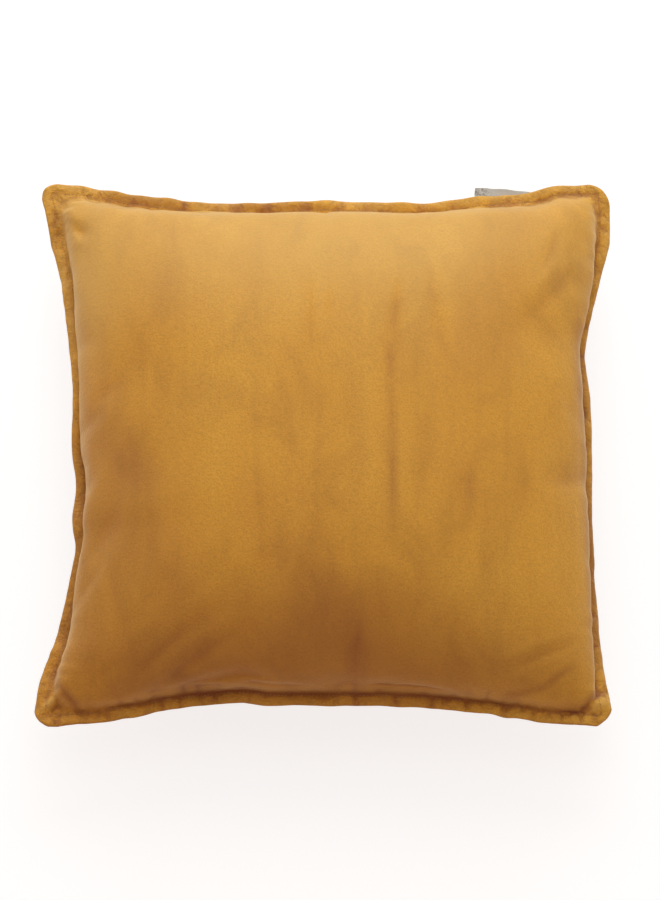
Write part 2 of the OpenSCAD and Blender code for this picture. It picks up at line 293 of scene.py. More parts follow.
def spread_by_arc(height, **shape):
    """Plan places of the cloth's rows: each row keeps its own length of cloth over the dome."""
    fine = np.linspace(-1, 1, 1201)

    def row(level):
        z = height * dome(fine, np.full_like(fine, level), **shape)
        along = np.concatenate([[0], np.cumsum(np.hypot(np.diff(fine) * HALF, np.diff(z)))])
        return np.interp((SPACING + 1) / 2 * along[-1], along, fine)

    middle = row(0.0)
    return np.array([row(level) for level in middle])


def bulge(u, v, rise, sign, amount):
    """How far a face hangs out over the seam on one side (sign of u), for points at this rise over it."""
    level = rise / HANG_LEVEL
    towards_side = smooth((sign * u - 0.3) / 0.5)
    off_corners = smooth((1 - np.abs(v)) / 0.10)
    return sign * amount * level * np.exp(1 - level) * towards_side * off_corners


# How far the left and right sides hang over their seams: place up the side, and millimetres
LEFT_HANG = [(-1, 0.5), (-0.85, 2), (-0.6, 5.2), (0.0, 4.2), (0.6, 4.8), (0.85, 2), (1, 0.5)]
RIGHT_HANG = [(-1, 5), (-0.8, 7), (-0.3, 8.2), (0.25, 7.6), (0.4, 6.3), (0.55, 8.8), (0.66, 8.6), (0.82, 2.8),
              (1, 2)]
BOTTOM_HANG = 1.4 * MM
HANG_LEVEL = 0.016  # height over the seam where a face hangs out the most
SPARE = 2 * MM  # room that the folds may need at the top of the crown


def face_base(face, **shape):
    """The filled face without its folds: places u and v, and the grid of its points."""
    rows = spread_by_arc(CROWN, **shape)
    u, v = rows, rows.T
    height = dome(u, v, **shape)
    rise = (CROWN - SPARE) * height
    plan = coons(u, v)
    plan[..., 0] += bulge(u, v, rise, -1, np.interp(v, *zip(*LEFT_HANG)) * MM)
    plan[..., 0] += bulge(u, v, rise, 1, np.interp(v, *zip(*RIGHT_HANG)) * MM)
    plan[..., 1] += bulge(v, u, rise, -1, BOTTOM_HANG)
    grid = np.dstack([plan, MID + face * (0.6 * PLY + rise)])
    reach = 0.022
    for name, away in AWAY.items():
        place = v if name in UPRIGHT else u
        fade = np.exp(-(away / reach) ** 2)
        grid += on_side(name, 2, place) * fade[..., None]
    return u, v, grid


def sampled(field):
    """A field on the evenly woven cloth, taken at the grid's own rows and columns."""
    even = np.linspace(-1, 1, CELLS + 1)
    out = np.empty_like(field)
    for k in range(field.shape[2]):
        wide = np.array([np.interp(SPACING, even, line) for line in field[..., k]])
        out[..., k] = np.array([np.interp(SPACING, even, line) for line in wide.T]).T
    return out


def gathers(seed):
    """Small folds square to the seams, where the longer cloth is eased into the shorter stitching."""
    s = (SPACING + 1) * FLAT / 2
    fold_length, fold_reach, fold_height = 0.0125, 0.006, 0.55 * MM
    total = np.zeros((CELLS + 1, CELLS + 1))
    for k, (name, away) in enumerate(AWAY.items()):
        wave = ripple(s, seed + k, fold_length)
        reach = fold_reach * (1 + 0.5 * ripple(s, seed + 10 + k, 0.04)).clip(0.4)
        wave, reach = (wave[:, None], reach[:, None]) if name in UPRIGHT else (wave[None, :], reach[None, :])
        far = away / reach
        total += fold_height * wave * far * np.exp(1 - far)
    return total


# ---- The zip's own frame: x along the zip, y up the back, z into the cushion ----

AXIS = next(j for j in frame["record"]["behaviour"]["joints"] if j["name"] == "pull_swing")["axis"]
ZIP_Y = Vector(AXIS).normalized()
ZIP_IN = Vector((0, -AXIS[2], AXIS[1])).normalized()
TAPE_T = 0.6 * MM
PANEL_T = 1.2 * MM
TAPES = [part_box(name) for name in ("zip_tape_upper", "zip_tape_lower")]
ZIP_AT = sum((lo + hi for lo, hi in TAPES), Vector()) / 4 - ZIP_IN * (PANEL_T + TAPE_T / 2)
TAPE_HALF = TAPES[0][1].x
ZIP_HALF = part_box("zip_coil_upper")[1].x
SLOT_HALF = ZIP_HALF + 4.6 * MM  # gap between the back panels, half its length and half its width
SLOT_Y = 5 * MM


def in_zip(x, y, z):
    return Vector((x, 0, 0)) + ZIP_AT + ZIP_Y * y + ZIP_IN * z


# ---- Cloth simulation ----

SIM_FRAMES = 26
FIRST_SWELL = 0.012  # how far the flat cloths start out of their plane, so that the pressure takes hold
ZIP_FROM_MIDDLE = 0.772  # where the zip's row of cloth is, from the middle of the back to its seam


def inflate():
    """Blows up two flat squares of cloth sewn along their edges, while the seam is drawn to its filled shape.
    Returns the front's and the back's grids of points."""
    n = CELLS
    even = np.linspace(-1, 1, n + 1)
    zip_row = int(round((1 - ZIP_FROM_MIDDLE) / 2 * n))
    index, rim, faces = bag_points(n + 1)
    verts, goals, held = [], [], []
    for face in (1, -1):
        for number, on_rim in enumerate(rim):
            j, i = divmod(number, n + 1)
            if on_rim and face == -1:
                continue
            swell = math.sqrt((1 - even[i] ** 2) * (1 - even[j] ** 2))
            start = Vector((even[i] * FLAT / 2, even[j] * FLAT / 2, MID + face * FIRST_SWELL * swell))
            goal = start
            if on_rim:
                name, a = (("left", even[j]) if i == 0 else ("right", even[j]) if i == n
                           else ("bottom", even[i]) if j == 0 else ("top", even[i]))
                line, shift = on_side(name, 0, a), on_side(name, 2, a)
                goal = Vector((line[0] + shift[0], line[1] + shift[1], MID + shift[2]))
                held.append(len(verts))
            elif face == -1 and abs(j - zip_row) <= 2 and abs(start.x) < TAPE_HALF:
                goal = in_zip(start.x, (j - zip_row) * FLAT / n, 0)
                held.append(len(verts))
            verts.append(start)
            goals.append(goal)
    mesh = bpy.data.meshes.new("cloth_bag")
    mesh.from_pydata(verts, [], faces)
    bag = bpy.data.objects.new("cloth_bag", mesh)
    bpy.context.scene.collection.objects.link(bag)
    bag.shape_key_add(name="flat")
    sewn = bag.shape_key_add(name="sewn")
    sewn.data.foreach_set("co", np.array(goals, np.float32).ravel())
    sewn.value = 0
    sewn.keyframe_insert("value", frame=1)
    sewn.value = 1
    sewn.keyframe_insert("value", frame=SIM_FRAMES // 2)
    bag.vertex_groups.new(name="seam").add(held, 1.0, "REPLACE")
    cloth = bag.modifiers.new("cloth", "CLOTH")
    s = cloth.settings
    s.quality = 5
    s.mass = 0.15
    s.tension_stiffness, s.compression_stiffness = 30, 14
    s.shear_stiffness = 5
    s.bending_stiffness = 1.6
    s.air_damping = 2
    s.use_pressure = True
    s.uniform_pressure_force = 13
    s.vertex_group_mass = "seam"
    s.pin_stiffness = 50
    s.effector_weights.gravity = 0
    cloth.collision_settings.use_collision = False
    cloth.collision_settings.use_self_collision = False
    cloth.point_cache.frame_start, cloth.point_cache.frame_end = 1, SIM_FRAMES
    for f in range(1, SIM_FRAMES + 1):
        bpy.context.scene.frame_set(f)
    graph = bpy.context.evaluated_depsgraph_get()
    blown = bpy.data.meshes.new_from_object(bag.evaluated_get(graph))
    grids = [points_of(blown)[numbers].reshape(n + 1, n + 1, 3) for numbers in index]
    bpy.context.scene.frame_set(1)
    bpy.data.objects.remove(bag)
    bpy.data.meshes.remove(mesh)
    bpy.data.meshes.remove(blown)
    return grids


def folds_of(grid):
    """What the cloth's own folds add to its smoothed shape, weaker towards the corners."""
    detail = grid - blur(grid, 4.0)
    even = np.linspace(-1, 1, CELLS + 1)
    u, v = np.meshgrid(even, even)
    corner = smooth((np.minimum(np.abs(u), np.abs(v)) - 0.40) / 0.35)
    edge = np.maximum(np.abs(u), np.abs(v))
    hold = smooth((1 - edge) * CELLS / 2 / 1.5)
    near = 0.08 + 0.62 * smooth((edge - 0.62) / 0.28) * (1 - corner)
    return sampled(detail * (hold * near)[..., None])


FOLDS = [folds_of(grid) for grid in inflate()]


# ---- Panels with their halves of the flange ----

FLANGE_STEPS = [0.09, 0.22, 0.42, 0.66, 0.86, 0.965, 1.0]  # rows of the flange's points, from the seam out
FLANGE_SHADE_AND_WEAR = [0.16, 0.16, 0.04, 0.0, 0.03, 0.12, 0.22]  # how dark the flange is painted at each step: painted shade in the stitching's groove and on the turned outer edge, whose pile is also darker
FLANGE_PUFF = [0.80, 0.52, 0.95, 1.08, 0.95, 0.55, 0.0]  # height of its outside, in plies, at each step
K = len(FLANGE_STEPS)
STITCH_STEP = 1  # the step that the stitching lies in
OUTER_R = {"bl": 0.011, "br": 0.014, "tl": 0.006, "tr": 0.020}  # radius of the flange's corners
SAG = {"left": -0.001, "right": -0.0045, "bottom": 0.0005, "top": -0.0005}  # lift of the flange's edge


def flange_line(name, t, puff, face, a):
    """A line along the flange, t of the way out from the seam, with its waves and its stitching's puckers."""
    k = list(SIDES).index(name)
    s = (a + 1) * FLAT / 2
    points = on_side(name, 0, a)
    points = np.column_stack([points, np.full(len(a), MID)]) + on_side(name, 2, a)
    fade = smooth((1 - np.abs(a)) / 0.07)
    points += on_side(name, 1, a) * (FLANGE * (1 + 0.035 * fade * ripple(s, 61 + k, 0.05)) * t)[:, None]
    wave = 1.5 * MM * ripple(s, 41 + k, 0.085) + 0.8 * MM * ripple(s, 45 + k, 0.030)
    pucker = 0.55 * MM * ripple(s, 51 + 4 * face + k, 0.0095) * math.sin(math.pi * min(t / 0.9, 1))
    pucker += 0.30 * MM * ripple(s, 91 + 4 * face + k, 0.006) * smooth(t / 0.2)
    points[:, 2] += (t * (wave + SAG[name]) + face * pucker * (puff > 0)) * fade + face * puff * PLY
    return points


def with_flange(grid, face):
    """The face's grid with the flange's rows and columns added all round it."""
    n = CELLS + 1
    full = np.zeros((n + 2 * K, n + 2 * K, 3))
    full[K:K + n, K:K + n] = grid
    for m, (t, puff) in enumerate(zip(FLANGE_STEPS, FLANGE_PUFF)):
        middle, low, high = slice(K, K + n), K - 1 - m, K + n + m
        for name, at in (("left", (middle, low)), ("right", (middle, high)), ("bottom", (low, middle)),
                         ("top", (high, middle))):
            full[at] = flange_line(name, t, puff, face, SPACING)
    for sx, sy in QUADRANT.values():
        ci, cj = K + (CELLS if sx > 0 else 0), K + (CELLS if sy > 0 else 0)
        corner = full[cj, ci]
        for a in range(K):
            for b in range(K):
                i, j = ci + sx * (a + 1), cj + sy * (b + 1)
                spot = full[cj, i] + full[j, ci] - corner
                spot[2] = MID + face * FLANGE_PUFF[max(a, b)] * PLY
                full[j, i] = spot
    for name, (sx, sy) in QUADRANT.items():
        round_corner(full, name, sx, sy)
    return full


def round_corner(full, name, sx, sy):
    """Draws the flange's square corner in to a round one, and what is near it with it."""
    r = OUTER_R[name]
    tip = full[-1 if sy > 0 else 0, -1 if sx > 0 else 0, :2].copy()
    p = (1 - (tip[0] - full[..., 0]) * sx / r)
    q = (1 - (tip[1] - full[..., 1]) * sy / r)
    near = (p > 0) & (q > 0)
    p, q = p[near], q[near]
    full[near, 0] += sx * r * (p * np.sqrt(1 - q * q / 2) - p)
    full[near, 1] += sy * r * (q * np.sqrt(1 - p * p / 2) - q)


def stroke(grid, a, b, width, start):
    """A soft stroke from a to b, in millimetres in plan: 1 in its middle, less across it and at its ends.
    start is the share of its swell that lies before a."""
    a, b = np.array(a) * MM, np.array(b) * MM
    d = b - a
    t = ((grid[..., :2] - a) @ d / (d @ d)).clip(0, 1)
    away = np.linalg.norm(grid[..., :2] - (a + t[..., None] * d), axis=-1)
    return np.sin(math.pi * (start + (1 - 2 * start) * t)) * np.exp(-(away / (width * MM)) ** 2)


def chain(points, width, *amounts):
    """Strokes that follow one another through the points: from, to, half-width and amount of each."""
    return [(a, b, width, amount) for a, b, amount in zip(points, points[1:], amounts)]


# Folds and creases of the front that a hand would find: from, to, half-width and height, in millimetres
FRONT_RIDGES = [
    # bottom left corner
    ((-236, -227), (-224, -216), 3.6, 5), ((-224, -216), (-214, -226), 3.2, 3),
    ((-226, -224), (-225, -243), 3, -3.2), ((-214, -222), (-212, -240), 3, 2.2),
    ((-205, -232), (-203, -243), 2.6, -1.6), ((-197, -226), (-150, -228), 3.5, 1.6),
    ((-196, -214), (-176, -196), 4, -1.2), ((-181, -214), (-172, -224), 3, -1.5),
    ((-190, -226), (-186, -238), 2.6, -1.4),
    # top left corner, where the flange is crumpled in a zigzag
    *chain([(-236, 222), (-231, 214), (-234, 207), (-228, 199), (-232, 192), (-226, 185), (-228, 177)],
           1.8, -2, -2, -2.2, -2, -1.8, -1.6),
    ((-229, 221), (-217, 213), 3, 3.6), ((-226, 211), (-214, 206), 2.6, 2.8),
    ((-224, 202), (-214, 198), 2.4, 2.2), ((-221, 193), (-212, 189), 2.4, 2),
    ((-218, 184), (-210, 181), 2.2, 1.6), ((-214, 200), (-204, 188), 4, -4),
    # where the filled part's corners meet the stitching
    *chain([(231, -214), (216, -229), (198, -231)], 2.4, -3, -2), ((-225, -211), (-205, -231), 2.6, -2.6),
    ((-222, 228), (-204, 220), 2.6, 2.2), ((-203, 226), (-196, 219), 2.4, 1.8),
    ((-190, 221), (-178, 212), 4, 1.2),
    # bottom right corner
    ((222, -224), (238, -222), 7, 5.5), ((216, -229), (214, -242), 2.4, -2.4),
    ((209, -228), (207, -241), 2.4, 1.8), ((202, -228), (200, -241), 2.4, -1.8),
    ((226, -236), (232, -243), 2.6, -1.8), ((234, -216), (240, -206), 3, -2),
    ((150, -205), (214, -176), 3.6, -1.2), ((142, -200), (205, -170), 5, 0.8),
    ((150, -219), (176, -215), 3, -1.4),
    # creases of the face
    ((200, 190), (186, 150), 3.4, -1), ((212, 176), (200, 140), 3, -0.8),
    ((212, 160), (203, 142), 2.5, -0.8), ((-14, 140), (-12, 50), 2.8, -0.35),
    ((60, 118), (54, 40), 2.6, -0.45), ((54, 40), (58, -88), 2.4, -0.45), ((88, 140), (100, 62), 3.2, -0.3),
    ((122, -26), (118, -92), 3, -0.3), ((26, -165), (30, -214), 3, -0.6), ((-176, -4), (-166, -30), 3, 0.6),
    ((-170, 8), (-160, -20), 2.6, -0.5), ((-181, 0), (-176, -22), 2.4, -0.4),
]


def panel_object(name, grid, material, **fields):
    """A panel of cloth with real thickness, from its grid of outer points. The fields are numbers at those
    points, for the material."""
    obj = add_object(name, grid.reshape(-1, 3), grid_quads(*grid.shape[:2]), material)
    for field, values in fields.items():
        set_attribute(obj, field, values.ravel())
    finer = obj.modifiers.new("finer", "SUBSURF")
    finer.levels = finer.render_levels = 1
    finer.boundary_smooth = "PRESERVE_CORNERS"
    thicken(obj, CLOTH, -1)
    bake_modifiers(obj)
    return obj


def front_grid():
    u, v, grid = face_base(1)
    normal = normals_of(grid)
    grid += FOLDS[0] + normal * gathers(71)[..., None]
    full = with_flange(grid, 1)
    for a, b, width, height in FRONT_RIDGES:
        full[..., 2] += height * MM * stroke(full, a, b, width, 0.12)
    return full


BACK_SHAPE = dict(power=2.4, steep=0.5)
BAND = 0.010  # cloth on each side of the zip that lies flat against its tapes
FLOOR = 0.4 * MM
PRESS = 2.0 * MM  # how gently the cloth rounds off onto what it rests on
FADE_UP, FADE_DOWN = 0.045, 0.044  # where the cloth is its own shape again, above and below the zip
FADE_END, FADE_ACROSS = 0.222, 0.052  # the same past the zip's ends, and over what length


def back_grid():
    """The back, pressed flat where it rests and straight where it holds the zip. Also returns the zip's row
    and each point's distance up the back from the zip."""
    grid = face_base(-1, **BACK_SHAPE)[2]
    middle = grid[:, CELLS // 2]
    row = int(np.argmin(np.abs(middle[:, 1] - ZIP_AT.y)))
    along = lengths_along(middle)
    up = (along - along[row])[:, None] * np.ones(CELLS + 1)
    share = np.where(up > 0, smooth((FADE_UP - up) / (FADE_UP - BAND)),
                     smooth((FADE_DOWN + up) / (FADE_DOWN - BAND)))
    share = (share * smooth((FADE_END - np.abs(grid[..., 0])) / FADE_ACROSS))[..., None]
    straight = np.array(ZIP_AT) + up[..., None] * np.array(ZIP_Y)
    straight[..., 0] = grid[..., 0]
    loose = grid + FOLDS[1] - normals_of(grid) * gathers(81)[..., None]
    loose[..., 2] = FLOOR + PRESS * np.logaddexp(0, (loose[..., 2] - FLOOR) / PRESS)
    grid = loose * (1 - share) + straight * share
    full = with_flange(grid, -1)
    far = np.full(full.shape[:2], 1.0)
    far[K:K + CELLS + 1, K:K + CELLS + 1] = up
    return full, row + K, far


def open_at_zip(grid, up, sign):
    """Draws the cloth beside the zip back to the edge of the zip's gap, on one side of it."""
    slot = smooth((SLOT_HALF + 2 * MM - np.abs(grid[..., 0])) / (5 * MM))
    closed = 0.05 * MM
    edge = closed + (SLOT_Y - closed) * slot
    band = 12 * MM
    shift = np.where(sign * up < band, edge * (1 - sign * up / band), 0) * (sign * up > -MM)
    return grid + sign * shift[..., None] * np.array(ZIP_Y)


def scaled_about_middle(grid, across, through_z):
    middle = np.array((0, 0, MID))
    return middle + (grid - middle) * np.array((across, across, through_z))


def ring(full, inset):
    """The closed loop of a grid's points, inset by a number of cells."""
    lo, hi = inset, full.shape[0] - 1 - inset
    return np.concatenate([full[lo, lo:hi], full[lo:hi, hi], full[hi, hi:lo:-1], full[hi:lo:-1, lo]])


# ---- Stitches ----

def stitch_run(name, path, up, material, closed=True, pitch=3.3, length=2.7, radius=0.36, sway=0.0, seed=5):
    """A run of separate stitches along a path. Sizes are in millimetres. Each stitch is a short arched strand
    whose ends sink into the cloth."""
    path = np.asarray(path)
    if closed:
        path = np.vstack([path, path[:1]])
    along = lengths_along(path)
    count = int(along[-1] / (pitch * MM))
    step = along[-1] / count
    draw = np.random.default_rng(seed)
    sides, rings = 6, 7
    up = np.array(up, float)
    verts, faces = [], []

    def at(d):
        return np.array([np.interp(d, along, path[:, k]) for k in range(3)])

    for k in range(count):
        start = k * step + draw.uniform(-0.12, 0.12) * MM
        lean = (sway * (1 if k % 2 else -1) + draw.uniform(-0.08, 0.08)) * MM
        base = len(verts)
        for r in range(rings):
            t = r / (rings - 1)
            here = at(start + t * length * MM)
            ahead = unit(at(start + t * length * MM + 0.2 * MM) - here)
            across = np.cross(ahead, up)
            lift = (0.9 * math.sin(math.pi * t) - 0.45) * radius * MM
            centre = here + up * lift + across * lean * (2 * t - 1)
            thick = radius * MM * math.sin(math.pi * (0.12 + 0.76 * t)) ** 0.6
            for m in range(sides):
                angle = 2 * math.pi * m / sides
                verts.append(centre + across * math.cos(angle) * thick + up * math.sin(angle) * thick)
        faces += tube_faces(base, rings, sides)
    return add_object(name, verts, faces, material)


# ---- Label ----

def label_object(name, material):
    """A folded woven label, caught in the top seam behind the flange, sloping down to the right."""
    x0, x1 = 0.1293, 0.1905
    proud, slope, behind = 9.8, 11.5, 2.9 * MM
    columns, rows = 44, 16
    verts = []
    for i in range(columns + 1):
        t = i / columns
        x = x0 + (x1 - x0) * t
        a = x / EDGE
        line = on_side("top", 0, np.array([a]))[0]
        edge = line[1] + FLANGE
        top = edge + (proud - slope * t ** 1.15) * MM + 0.25 * MM * math.sin(19 * t)
        foot = line[1] + 2 * MM
        for j in range(rows + 1):
            w = j / rows
            y = foot + (top - foot) * w
            curl = 1.5 * MM * w ** 2 * math.sin(2.2 * t + 0.6) + 0.35 * MM * math.sin(9 * t + 3 * w) * w
            verts.append((x + 0.4 * MM * w * math.sin(7 * w), y, MID - behind + curl))
    faces = [face[::-1] for face in grid_quads(columns + 1, rows + 1)]
    obj = add_object(name, verts, faces, material)
    thicken(obj, 0.7 * MM, 0)
    soft = obj.modifiers.new("soft", "BEVEL")
    soft.width = 0.2 * MM
    soft.segments = 2
    bake_modifiers(obj)
    return obj


# ---- Zip ----

def coil_object(name, sign, material):
    """One nylon coil of the zip: a flattened helix along the edge of its tape."""
    pitch, per_turn, sides, wire = 2.5 * MM, 16, 6, 0.34 * MM
    margin, axis_y, half_width, half_height = 0.6 * MM, 1.46 * MM, 0.70 * MM, 0.62 * MM
    turns = int(2 * ZIP_HALF / pitch)
    count = turns * per_turn + 1
    line = []
    for k in range(count):
        angle = 2 * math.pi * k / per_turn
        x = -ZIP_HALF + margin + 2 * (ZIP_HALF - margin) * k / (count - 1)
        y = sign * (axis_y + half_width * math.cos(angle))
        z = 0.2 * MM + half_height * math.sin(angle + (0 if sign > 0 else math.pi))
        line.append(np.array(in_zip(x, y, z)))
    line = np.array(line)
    tangent = unit(np.gradient(line, axis=0))
    side_way = unit(np.cross(tangent, (1.0, 0, 0)))
    up_way = np.cross(side_way, tangent)
    verts = []
    for k in range(count):
        for m in range(sides):
            angle = 2 * math.pi * m / sides
            verts.append(line[k] + wire * (math.cos(angle) * side_way[k] + math.sin(angle) * up_way[k]))
    return add_object(name, verts, tube_faces(0, count, sides), material)


STITCH_Y = 7.35 * MM  # how far from the zip's middle its tapes are stitched on
TACK_IN = 5.4 * MM  # how far in from the tapes' ends the bar tacks are
TACK_HALF = 6 * MM  # half their length


def zip_stitches(name, sign, material):
    ends = TAPE_HALF - 10 * MM
    path = [in_zip(x, sign * STITCH_Y, -0.05 * MM) for x in np.linspace(-ends, ends, 60)]
    return stitch_run(name, path, -ZIP_IN, material, closed=False, pitch=3.0, length=2.5, radius=0.3)


def bar_tack(name, sign, material):
    """A dense zigzag of thread across one end of the zip's gap."""
    x = sign * (TAPE_HALF - TACK_IN)
    turns = 16
    path = []
    for k in range(turns + 1):
        across = MM if k % 2 else -MM
        path.append(in_zip(x + across, (2 * k / turns - 1) * TACK_HALF, -0.1 * MM))
    return stitch_run(name, path, -ZIP_IN, material, closed=False, pitch=2.2, length=2.3, radius=0.28,
                      seed=9 + sign)


# ---- Pad ----

def pad_faces(front, back):
    """The inner pad's two faces, which meet along its edge: the cover's, smoothed and a little smaller."""
    n = CELLS + 1
    faces = [scaled_about_middle(blur(full[K:K + n, K:K + n], 1.5), 0.962, 0.93) for full in (front, back)]
    rim = np.zeros((n, n), bool)
    rim[0, :] = rim[-1, :] = rim[:, 0] = rim[:, -1] = True
    meet = (faces[0][rim] + faces[1][rim]) / 2
    faces[0][rim] = faces[1][rim] = meet
    return faces


def closed_form(name, front, back, material, lumps):
    """A closed soft form between two faces that share their edge."""
    draw = np.random.default_rng(17)
    _, rim, faces = bag_points(front.shape[0])
    verts = np.vstack([front.reshape(-1, 3), back.reshape(-1, 3)[~rim]])
    bump = np.zeros(len(verts))
    for _ in range(10):
        way = draw.normal(size=3)
        way *= 2 * math.pi / (np.linalg.norm(way) * draw.uniform(0.025, 0.07))
        bump += np.sin(verts @ way + draw.uniform(0, 6.28))
    middle = np.array((0, 0, MID))
    verts = middle + (verts - middle) * (1 - lumps * (0.5 + bump[:, None] / 12))
    return add_object(name, verts, faces, material)


# ---- Materials ----

def fill_ramp(ramp, stops):
    """Sets a colour ramp's stops: place and colour, in order."""
    while len(ramp.elements) < len(stops):
        ramp.elements.new(0.5)
    for element, (at, colour) in zip(ramp.elements, stops):
        element.position, element.color = at, (*colour, 1)


class Nodes:
    """A short way to write a material's nodes."""

    def __init__(self, name):
        self.material = bpy.data.materials.new(name)
        self.material.use_nodes = True
        self.tree = self.material.node_tree
        self.shader = self.tree.nodes["Principled BSDF"]
        self.place = self.tree.nodes.new("ShaderNodeTexCoord").outputs["Object"]

    def set(self, **values):
        for key, value in values.items():
            self.shader.inputs[key.replace("_", " ")].default_value = value

    def link(self, a, b):
        self.tree.links.new(a, b)

    def feed(self, socket, x):
        """Links a socket to x, or sets it where x is a number or a colour."""
        if hasattr(x, "links"):
            self.link(x, socket)
        else:
            socket.default_value = x if isinstance(x, (int, float)) else (*x, 1)

    def new(self, kind, **inputs):
        """A new node with these inputs: numbers, or what other nodes give."""
        node = self.tree.nodes.new("ShaderNode" + kind)
        for key, value in inputs.items():
            self.feed(node.inputs[key], value)
        return node

    def stretched(self, scale):
        """The place on the object, with lengths along each axis times its scale."""
        node = self.new("Mapping", Vector=self.place)
        node.inputs["Scale"].default_value = scale
        return node.outputs["Vector"]

    def noise(self, scale, detail=2.0, rough=0.5, stretch=None, distortion=0.0):
        place = self.stretched(stretch) if stretch else self.place
        node = self.new("TexNoise", Vector=place, Scale=scale, Detail=detail, Roughness=rough,
                        Distortion=distortion)
        return node.outputs["Fac"]

    def wave(self, scale, direction):
        node = self.new("TexWave", Vector=self.place, Scale=scale)
        node.bands_direction = direction
        return node.outputs["Fac"]

    def attribute(self, name):
        node = self.new("Attribute")
        node.attribute_name = name
        return node.outputs["Fac"]

    def math(self, kind, a, b):
        node = self.new("Math")
        node.operation = kind
        self.feed(node.inputs[0], a)
        self.feed(node.inputs[1], b)
        return node.outputs[0]

    def positive(self, x):
        return self.math("MAXIMUM", x, 0.0)

    def negative(self, x):
        """How far x is under 0."""
        return self.positive(self.math("MULTIPLY", x, -1.0))

    def ramp(self, factor, stops):
        node = self.new("ValToRGB", Fac=factor)
        fill_ramp(node.color_ramp, stops)
        return node.outputs["Color"]

    def mix(self, factor, a, b, blend="MIX"):
        node = self.new("Mix")
        node.data_type, node.blend_type = "RGBA", blend
        for socket, x in ((0, factor), (6, a), (7, b)):  # those for colours: others are for numbers
            self.feed(node.inputs[socket], x)
        return node.outputs[2]

    def tint(self, base, colour, pattern, share):
        """Mixes a colour into the base, by a share of the pattern."""
        return self.mix(self.math("MULTIPLY", pattern, share), base, colour)

    def bump(self, height, distance, strength=1.0, under=None):
        node = self.new("Bump", Distance=distance, Strength=strength, Height=height)
        if under:
            self.link(under, node.inputs["Normal"])
        return node.outputs["Normal"]

    def finish(self, colour, normal=None):
        self.link(colour, self.shader.inputs["Base Color"])
        if normal:
            self.link(normal, self.shader.inputs["Normal"])
        return self.material


OCHRE = (0.560, 0.258, 0.014)
PALE = (0.650, 0.345, 0.034)
BROWN = (0.440, 0.168, 0.010)
# The two colours below are painted into the velvet: the darker one for crushed pile and painted shade, the
# paler one for painted light.
DARK_PILE_AND_SHADE = (0.250, 0.066, 0.007)
PALE_PAINTED_LIGHT = (0.600, 0.365, 0.095)


def velvet_material():
    m = Nodes("velvet")
    brushed = m.noise(5.5, 3.0, 0.55, stretch=(1.0, 0.45, 1.0), distortion=0.4)
    patches = m.noise(19, 3.0, 0.62, stretch=(1.0, 0.6, 1.0), distortion=0.8)
    streaks = m.noise(60, 2.0, 0.5, stretch=(1.0, 0.10, 1.0))
    nap = m.noise(600, 3.0, 0.7)
    base = m.ramp(brushed, [(0.28, BROWN), (0.48, OCHRE), (0.74, PALE)])
    mottle = m.ramp(patches, [(0.28, (0.74, 0.68, 0.60)), (0.52, (1, 1, 1)), (0.75, (1.08, 1.1, 1.14))])
    base = m.mix(0.30, base, OCHRE)
    base = m.mix(0.60, base, mottle, "MULTIPLY")
    grain = m.ramp(nap, [(0.30, (0.62, 0.58, 0.52)), (0.50, (1, 1, 1)), (0.70, (1.26, 1.28, 1.34))])
    base = m.mix(0.52, base, grain, "MULTIPLY")
    lines = m.ramp(streaks, [(0.30, (0.84, 0.80, 0.76)), (0.5, (1, 1, 1))])
    base = m.mix(0.45, base, lines, "MULTIPLY")
    crumpled = m.noise(150, 3.0, 0.65, distortion=0.6)
    blotches = m.ramp(crumpled, [(0.36, (0.66, 0.58, 0.50)), (0.50, (0.98, 0.96, 0.93)),
                                 (0.64, (1.20, 1.24, 1.40))])
    # Where the cloth is loose and crumples it is mottled darker and paler with its lumps: partly crushed
    # pile, partly painted shade and highlight.
    loose = m.attribute("loose")
    base = m.tint(base, m.mix(1.0, base, blotches, "MULTIPLY"), loose, 0.8)
    # Painted shade darkens the cloth's hollows, in its creases and along the seams; its ridges are made
    # paler, partly worn pile and partly painted highlight.
    proud = m.attribute("relief")
    hollow = m.math("MULTIPLY", m.negative(proud), 0.42)
    base = m.tint(base, PALE, m.positive(proud), 0.35)
    # The listed marks: painted shade in creases, folds and beside the seams, with crushed and brushed pile,
    # make it darker; painted light makes the upper face, the upper left, the bottom flange and corner ridges
    # paler.
    rub = m.attribute("rubbed")
    base = m.mix(m.negative(rub), base, PALE_PAINTED_LIGHT)
    base = m.mix(m.math("ADD", hollow, m.positive(rub)), base, DARK_PILE_AND_SHADE)
    m.set(Roughness=0.58, Sheen_Weight=0.75, Sheen_Roughness=0.5, Sheen_Tint=(1.0, 0.87, 0.52, 1),
          Specular_IOR_Level=0.32)
    soft = m.bump(m.noise(230, 2.0, 0.6), 0.0006, 0.5)
    soft = m.bump(m.math("MULTIPLY", crumpled, loose), 0.0022, 0.8, soft)
    normal = m.bump(nap, 0.0005, 0.6, soft)
    return m.finish(base, normal)


def tape_material():
    m = Nodes("zip_tape")
    colour, dark = (0.42, 0.22, 0.045), (0.22, 0.10, 0.02)
    cloth = m.math("MULTIPLY", m.wave(500, "X"), m.wave(500, "Y"))
    base = m.mix(m.ramp(cloth, [(0.1, (0, 0, 0)), (0.7, (1, 1, 1))]), dark, colour)
    base = m.tint(base, dark, m.noise(40, 3.0), 0.35)
    m.set(Roughness=0.85, Sheen_Weight=0.2)
    return m.finish(base, m.bump(cloth, 0.0002, 0.8))


def thread_material(name, colour, dark):
    m = Nodes(name)
    twist = m.wave(700, "DIAGONAL")
    base = m.tint(colour, dark, twist, 0.6)
    base = m.tint(base, dark, m.noise(90, 2.0), 0.4)
    m.set(Roughness=0.6, Sheen_Weight=0.3)
    return m.finish(base, m.bump(twist, 0.0001, 0.6))


